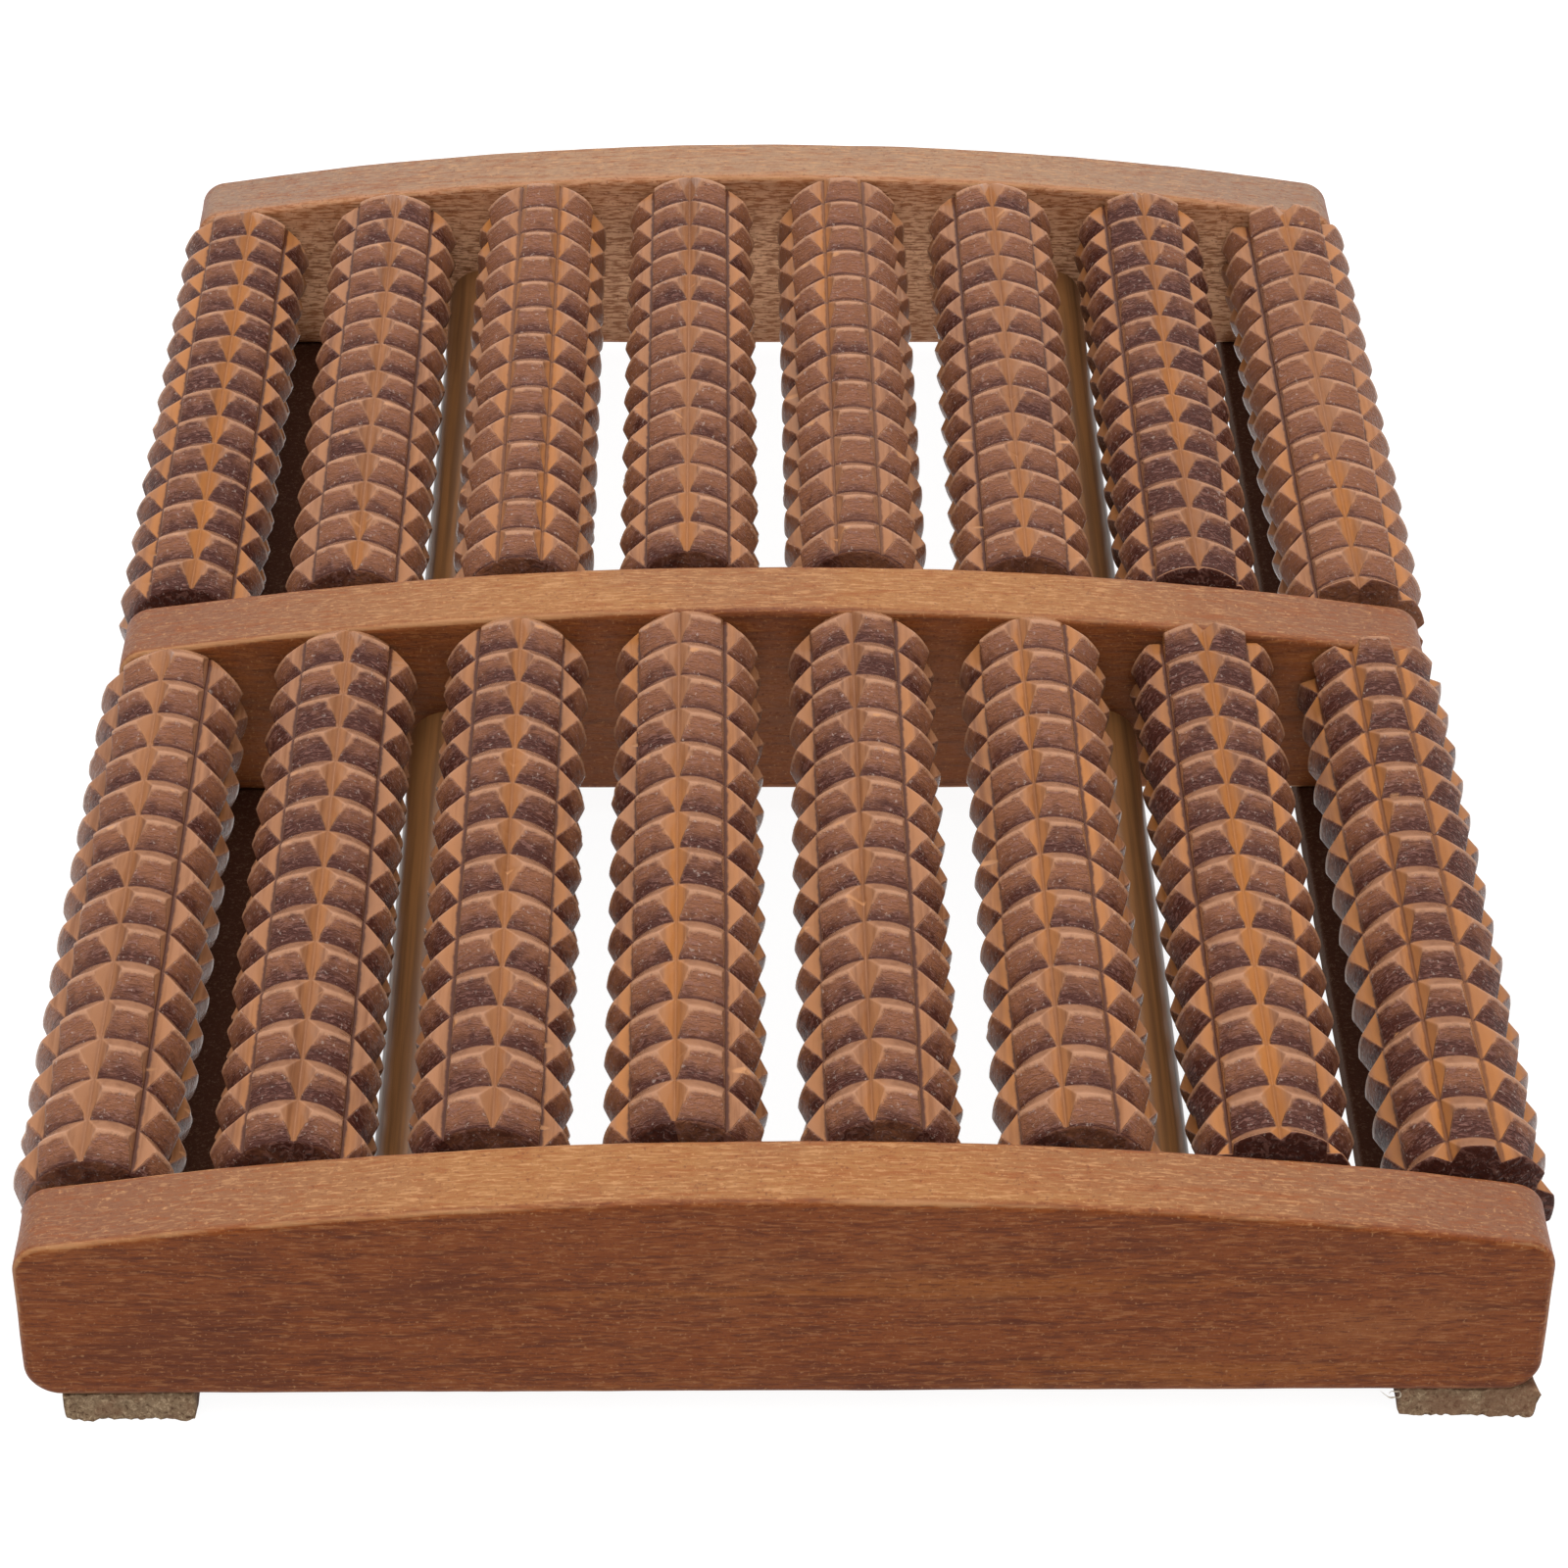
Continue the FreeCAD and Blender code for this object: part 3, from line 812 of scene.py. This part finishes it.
def roller_finish(sizes):
    """Stained and varnished rollers.

    The front of each ridge, cut across the fibres, has a dark, rippled patch
    inside a pale rim. The back of the ridge and the milled flanks stay tan.
    """
    f = Finish("stained_roller")
    stain, edge, crest, flute = f.marks("stain", "from_edge", "from_crest", "from_flute")
    seam, chip, orange = f.marks("seam", "chip", "orange")
    fibres = f.noise((1300, 70, 1300), 4.0, 0.6)
    streaks = f.noise((380, 22, 380), 3.0, distortion=0.4)
    blotches = f.noise(120.0, 3.0)
    lumps = f.noise(480.0, 3.0, 0.6, 0.3)
    flecks = f.noise(1500.0, 3.0, 0.65)
    ripple = f.noise((800, 2500, 800), 3.0, 0.6, 1.0)
    # Where the dark patches are: before the crest, inside the tooth's edges, clear of the flute bottoms
    # except in seams darkened by painted shade and stain
    channel = f.ease(f.ragged(flute, streaks, 1.2), 0.22, 0.62)
    channel = f.math("MAXIMUM", channel, f.ease(seam, 0.25, 0.6))
    down = f.times(crest, -1.0)
    widened = f.plus(f.times(edge, 0.8), f.ease(down, 0.9, 3.4, -0.25, 0.8))
    inside = f.math("SMOOTH_MIN", down, f.plus(widened, f.times(seam, 0.8)), 0.5)
    on_ridge = f.ease(f.ragged(edge, lumps, 0.3), -0.18, 0.04)
    patch = f.ease(f.ragged(f.ragged(inside, lumps, 1.4), flecks, 0.6), 0.05, 0.65)
    patch = f.times(f.times(patch, channel), on_ridge)
    # Their colour: the stain soaks in more towards the groove
    soaked = f.plus(stain, f.ease(down, 1.0, 4.0, -0.40, 0.28))
    soaked = f.ease(f.ragged(f.ragged(soaked, lumps, 0.9), blotches, 1.1), 0.0, 0.95)
    ridge = f.mix(soaked, sizes.red, sizes.dark)
    # Painted sheen on the ripples' bumps, standing in for the sky's reflection
    ridge = f.mix(f.ease(ripple, 0.50, 0.64, 0.0, 0.60), ridge, sizes.painted_sheen)
    # The milled flanks, with a painted orange glow of bounced light towards the bottoms of the flutes
    grain = f.plus(f.times(fibres, 0.5), f.times(streaks, 0.6))
    milled = f.mix(f.ease(grain, 0.48, 0.72), sizes.flank, sizes.flank_dark)
    flute_glow_mask = f.times(f.ease(f.ragged(flute, streaks, 3.0), 2.3, 0.7), f.ease(orange, 0.0, 1.0, 0.12, 0.8))
    milled = f.mix(flute_glow_mask, milled, sizes.orange)
    milled = f.mix(f.ease(stain, 0.45, 1.3, 0.0, 0.45), milled, sizes.flank_dark)
    wood = f.mix(patch, milled, ridge)
    # Darker along the groove bottoms, and along the flute bottoms with pooled stain and painted shade that
    # grow as a flute turns away from up
    groove = f.math("SUBTRACT", GROOVE_AWAY, f.math("ABSOLUTE", crest))
    in_groove = f.ease(f.ragged(groove, lumps, 0.5), 0.55, 0.10, 0.0, 0.9)
    in_groove = f.times(in_groove, f.ease(channel, 0.0, 1.0, 0.35, 1.0))
    flute_stain_and_shade = f.ease(f.ragged(flute, lumps, 0.5), 0.48, 0.18, 0.0, seam)
    wood = f.mix(f.math("MAXIMUM", in_groove, flute_stain_and_shade), wood, sizes.dark)
    # Crests and edges that use has rubbed pale, painted glints on the dark patches, and chips
    rubbed = f.times(f.ease(f.ragged(down, lumps, 0.7), 0.75, 0.25), on_ridge)
    rubbed = f.times(rubbed, f.ease(crest, 1.6, 0.1, 0.35, 1.0))
    line = f.ease(f.ragged(f.math("ABSOLUTE", edge), lumps, 0.5), 0.22, 0.04, 0.0, 0.35)
    worn = f.times(f.math("MAXIMUM", rubbed, line), f.ease(stain, 1.4, 0.1, 0.45, 0.85))
    wood = f.mix(worn, wood, sizes.worn)
    wood = f.mix(f.times(f.ease(flecks, 0.60, 0.70, 0.0, 0.45), patch), wood, sizes.painted_glint)
    wood = f.mix(f.ease(chip, 0.25, 0.6, 0.0, 0.8), wood, sizes.bare)
    normal = f.relief(f.times(ripple, patch), 0.42)
    normal = f.relief(f.plus(f.times(fibres, 0.7), f.times(flecks, 0.5)), 0.05, normal)
    return f.done(wood, 0.5, Normal=normal, Specular_IOR_Level=0.02, Coat_Normal=normal,
                  Coat_Weight=1.0, Coat_IOR=1.16, Coat_Roughness=0.10)


def board_finish(sizes):
    """Stained boards.

    The faces are dark, with short fine streaks along X, specks and dashes. The
    top carries painted light from above and is paler, its ends are duller, the
    rough-sawn faces are dusty, and the long edges are rubbed pale here and there.
    """
    f = Finish("stained_board")
    arris, upward, sawn, endward, faded = f.marks("arris", "upward", "sawn", "endward", "faded")
    bands = f.noise((7, 110, 110), 4.0, 0.6, 0.4)
    streaks = f.noise((95, 950, 950), 4.0, 0.65, 0.3)
    dashes = f.noise((380, 2400, 2400), 2.0, 0.6)
    clouds = f.noise((22, 34, 34))
    flecks = f.noise(1700.0, 2.0, 0.6)
    grain = f.plus(f.times(bands, 0.3), f.times(streaks, 0.7))
    side = f.coats(sizes.face,
                   (sizes.streak, grain, 0.46, 0.64, 0.85),
                   (sizes.pale, clouds, 0.52, 0.74, 0.35),
                   (sizes.amber, bands, 0.55, 0.68, 0.50),
                   (sizes.streak, clouds, 0.47, 0.32, 0.50),
                   (sizes.pale, dashes, 0.54, 0.68, 0.60),
                   (sizes.streak, dashes, 0.46, 0.32, 0.65))
    # The top's colour: painted light from above on the faces' wood, with its own marks
    top = f.coats(sizes.top,
                  (sizes.top_end, endward, 0.30, 0.95, 1.0),
                  (sizes.top_end, clouds, 0.50, 0.34, 0.40),
                  (sizes.faded, faded, 0.0, 1.0, 0.5),
                  (sizes.face, grain, 0.47, 0.66, 0.50),
                  (sizes.worn, dashes, 0.52, 0.68, f.ease(endward, 0.5, 1.0, 0.55, 0.25)),
                  (sizes.face, dashes, 0.47, 0.33, 0.55))
    rough = f.coats(sizes.sawn,
                    (sizes.face, dashes, 0.42, 0.62, 0.75),
                    (sizes.face, clouds, 0.46, 0.70, 0.4))
    rubbed = f.ragged(f.ragged(arris, streaks, 0.9), clouds, 2.0)
    # Painted light: faces that turn upwards take the paler top colour
    wood = f.mix(f.ease(upward, 0.25, 0.8), side, top)
    wood = f.coats(f.mix(sawn, wood, rough),
                   (sizes.worn, flecks, 0.60, 0.74, 0.55),
                   (sizes.streak, flecks, 0.42, 0.28, 0.50),
                   (sizes.worn, rubbed, 0.72, 1.20, 0.65))
    normal = f.relief(f.plus(dashes, flecks), 0.07, f.relief(streaks, 0.10))
    gloss = f.ease(grain, 0.4, 0.65, 0.40, 0.5)
    return f.done(wood, gloss, Normal=normal, Specular_IOR_Level=0.12)


def runner_finish(sizes):
    """Fibreboard: dusty reddish brown on top, paler speckled fibres on sawn ends and edges."""
    f = Finish("fibreboard")
    cut, stained = f.marks("cut", "stained")
    dust = f.noise(1900.0, 4.0, 0.7)
    grains = f.noise(1500.0, 4.0, 0.75, 0.6)
    patches = f.noise(260.0, 3.0)
    top = f.coats(sizes.top, (sizes.cut, dust, 0.5, 0.72, 0.35))
    sawn = f.coats(sizes.cut,
                   (sizes.fibre, grains, 0.50, 0.66, 1.0),
                   (sizes.top, grains, 0.46, 0.34, 0.8),
                   (sizes.stain, f.plus(patches, f.times(stained, 0.14)), 0.50, 0.70, 0.55))
    wood = f.mix(cut, top, sawn)
    return f.done(wood, 0.85, Normal=f.relief(grains, 0.28), Specular_IOR_Level=0.1)


def dowel_finish(sizes):
    """Varnished dowels with faint streaks along them."""
    f = Finish("tie_dowel")
    streaks = f.noise((700, 16, 700), 4.0, 0.6, 0.3)
    clouds = f.noise((60, 14, 60), 2.0)
    wood = f.coats(sizes.dowel,
                   (sizes.dowel_streak, streaks, 0.42, 0.66, 0.75),
                   (sizes.dowel_streak, clouds, 0.4, 0.7, 0.35))
    return f.done(wood, f.ease(streaks, 0.4, 0.7, 0.30, 0.42), Normal=f.relief(streaks, 0.05),
                  Specular_IOR_Level=0.4)


def steel_finish(sizes):
    """Drawn steel rod with fine lines along it."""
    f = Finish("rod_steel")
    lines = f.noise((3000, 40, 3000))
    metal = f.coats(sizes.steel, (sizes.steel_line, lines, 0.4, 0.7, 0.4))
    return f.done(metal, f.ease(lines, 0.35, 0.7, 0.26, 0.4), Normal=f.relief(lines, 0.01), Metallic=1.0)


def glue_finish(sizes):
    """Dried glue, cloudy."""
    f = Finish("dried_glue")
    clouds = f.noise(800.0, 2.0)
    return f.done(f.mix(clouds, sizes.glue, sizes.fibre), 0.35, Normal=f.relief(clouds, 0.03))


def floor_finish(sizes):
    """Matt pale floor that sends out light itself, so that it stays white under the object."""
    f = Finish("pale_floor")
    shade = [0.97 * level for level in sizes.floor]
    return f.done(f.mix(f.noise(4.0, 2.0), sizes.floor, shade), 0.6, Specular_IOR_Level=0.2,
                  Emission_Color=(1, 1, 1), Emission_Strength=sizes.floor_glow)


# ---- Operators ----

class StepOperator:
    """What the operators share: they change the scene, and undo as one step."""
    bl_options = {"REGISTER", "UNDO"}

    def execute(self, context):
        self.build(context.scene)
        return {"FINISHED"}


class FOOTROLLER_OT_rollers(StepOperator, bpy.types.Operator):
    """Make the toothed rollers of both rows, each on its own turning body"""
    bl_idname = "footroller.rollers"
    bl_label = "Rollers"

    def build(self, scene):
        sizes = scene.footroller_rollers
        material = roller_finish(sizes)
        for row, name in enumerate(ROWS):
            stains, oranges = getattr(sizes, f"{name}_stain"), getattr(sizes, f"{name}_orange")
            for number in range(1, ROLLERS_PER_ROW + 1):
                node = f"{name}_roller_{number}"
                low, high = node_box(node)
                turn, ring_shift = turn_and_shift(node, low, high, sizes)
                seed = 100 * (row + 1) + 10 * number
                points, marks = toothed_roller(sizes, high[1] - low[1], turn, ring_shift,
                                               stains[number - 1], oranges[number - 1], seed)
                points += np.array([(low[0] + high[0]) / 2, low[1], (low[2] + high[2]) / 2])
                piece = grid_piece(node + "_wood", points, marks, rings=True)
                dress(piece, material, f"{name}_turning_{number}", "stained_roller", node)


class FOOTROLLER_OT_boards(StepOperator, bpy.types.Operator):
    """Make the three arched cross boards"""
    bl_idname = "footroller.boards"
    bl_label = "Cross boards"

    def build(self, scene):
        sizes = scene.footroller_boards
        material = board_finish(sizes)
        for number, node in enumerate(BOARDS):
            shape = arched_board(sizes, *node_box(node), sizes.rough_face[number], seed=11 + 7 * number)
            dress(grid_piece(node + "_wood", *shape), material, "frame", "stained_board", node)


class FOOTROLLER_OT_runners(StepOperator, bpy.types.Operator):
    """Make the two fibreboard runners, and the string of glue on the right one"""
    bl_idname = "footroller.runners"
    bl_label = "Runners"

    def build(self, scene):
        sizes = scene.footroller_runners
        material = runner_finish(sizes)
        for number, node in enumerate(RUNNERS):
            shape = rounded_strip(sizes, *node_box(node), sizes.spread[number] / MM,
                                  sizes.stained[number], seed=41 + 5 * number)
            dress(grid_piece(node + "_board", *shape), material, "frame", "fibreboard", node)
        piece = grid_piece("glue_string", glue_string(*node_box("right_runner"), seed=3))
        dress(piece, glue_finish(sizes), "frame", "fibreboard")


class FOOTROLLER_OT_dowels(StepOperator, bpy.types.Operator):
    """Make the two round tie dowels"""
    bl_idname = "footroller.dowels"
    bl_label = "Tie dowels"

    def build(self, scene):
        sizes = scene.footroller_rods
        material = dowel_finish(sizes)
        for number, node in enumerate(DOWELS):
            piece = grid_piece(node + "_wood", turned_bar(sizes, *node_box(node), seed=61 + 3 * number))
            dress(piece, material, "frame", "tie_dowel", node)


class FOOTROLLER_OT_rods(StepOperator, bpy.types.Operator):
    """Give the steel axle rods of the frame their finish"""
    bl_idname = "footroller.rods"
    bl_label = "Axle rods"

    def build(self, scene):
        material = steel_finish(scene.footroller_rods)
        for number in range(1, ROLLERS_PER_ROW + 1):
            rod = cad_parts[f"axle_rod_{number}"]
            rod.data.materials.clear()
            rod.data.materials.append(material)


class FOOTROLLER_OT_stage(StepOperator, bpy.types.Operator):
    """Set the pale floor, the soft light from above and the camera"""
    bl_idname = "footroller.stage"
    bl_label = "Stage"

    def build(self, scene):
        for add in (add_floor, add_light, add_camera):
            add(scene, scene.footroller_stage)
        scene.view_settings.view_transform = "Standard"


def add_floor(scene, sizes):
    """A wide level sheet just under the runners."""
    reach = 6.0
    mesh = bpy.data.meshes.new("floor")
    corners = [(-reach, -reach, 0), (reach, -reach, 0), (reach, reach, 0), (-reach, reach, 0)]
    mesh.from_pydata(corners, [], [(0, 1, 2, 3)])
    mesh.materials.append(floor_finish(sizes))
    floor = bpy.data.objects.new("floor", mesh)
    scene.collection.objects.link(floor)


def add_light(scene, sizes):
    """A sky of soft light: brightest straight above, falling with the third power of the height.

    At the horizon it goes from dim in front to bright behind.
    """
    world = bpy.data.worlds.new("studio")
    world.use_nodes = True
    f = Nodes(world.node_tree)
    towards = f.add("ShaderNodeSeparateXYZ")
    f.feed(towards.inputs[0], f.add("ShaderNodeTexCoord").outputs["Generated"])
    height = f.math("POWER", f.math("MAXIMUM", towards.outputs["Z"], 0.0), 3.0)
    horizon = f.ease(towards.outputs["Y"], -1.0, 1.0, sizes.before, sizes.behind)
    seen = f.add("ShaderNodeMix", data_type="FLOAT")
    f.feed(seen.inputs["Factor"], f.add("ShaderNodeLightPath").outputs["Is Camera Ray"])
    f.feed(seen.inputs["A"], f.ease(height, 0.0, 1.0, horizon, sizes.zenith, curve="LINEAR"))
    f.feed(seen.inputs["B"], 1.0)
    sky = world.node_tree.nodes["Background"]
    f.feed(sky.inputs["Strength"], seen.outputs["Result"])
    f.feed(sky.inputs["Color"], (1, 1, 1))
    scene.world = world


def add_camera(scene, sizes):
    """A long lens, looking down at the front of the object."""
    data = bpy.data.cameras.new("camera")
    data.lens = sizes.lens
    data.sensor_width = SENSOR_WIDTH
    camera = bpy.data.objects.new("camera", data)
    camera.matrix_world = Matrix.Translation(sizes.place)
    for angle, axis in ((sizes.yaw, "Z"), (math.pi / 2 - sizes.pitch, "X"), (sizes.roll, "Z")):
        camera.matrix_world @= Matrix.Rotation(angle, 4, axis)
    scene.collection.objects.link(camera)
    scene.camera = camera


# ---- Panel and registration ----

STEPS = (FOOTROLLER_OT_rollers, FOOTROLLER_OT_boards, FOOTROLLER_OT_runners, FOOTROLLER_OT_dowels,
         FOOTROLLER_OT_rods, FOOTROLLER_OT_stage)
GROUPS = {"footroller_rollers": RollerSizes, "footroller_boards": BoardSizes,
          "footroller_runners": RunnerSizes, "footroller_rods": RodSizes, "footroller_stage": StageSizes}


class FOOTROLLER_PT_pieces(bpy.types.Panel):
    """The pieces, with their sizes and colours"""
    bl_idname = "FOOTROLLER_PT_pieces"
    bl_label = "Foot Massage Roller"
    bl_space_type = "VIEW_3D"
    bl_region_type = "UI"
    bl_category = "Foot Roller"

    def draw(self, context):
        layout = self.layout
        for step in STEPS:
            layout.operator(step.bl_idname)
        for label in GROUPS:
            group = getattr(context.scene, label)
            box = layout.box()
            for prop in group.bl_rna.properties:
                if prop.identifier not in ("rna_type", "name"):
                    box.prop(group, prop.identifier)


CLASSES = (*GROUPS.values(), *STEPS, FOOTROLLER_PT_pieces)


def register():
    for kind in CLASSES:
        bpy.utils.register_class(kind)
    for label, group in GROUPS.items():
        setattr(bpy.types.Scene, label, PointerProperty(type=group))


def unregister():
    for label in GROUPS:
        delattr(bpy.types.Scene, label)
    for kind in reversed(CLASSES):
        bpy.utils.unregister_class(kind)


def main():
    register()
    for step in STEPS:
        area, name = step.bl_idname.split(".")
        getattr(getattr(bpy.ops, area), name)()


if __name__ == "__main__":
    main()
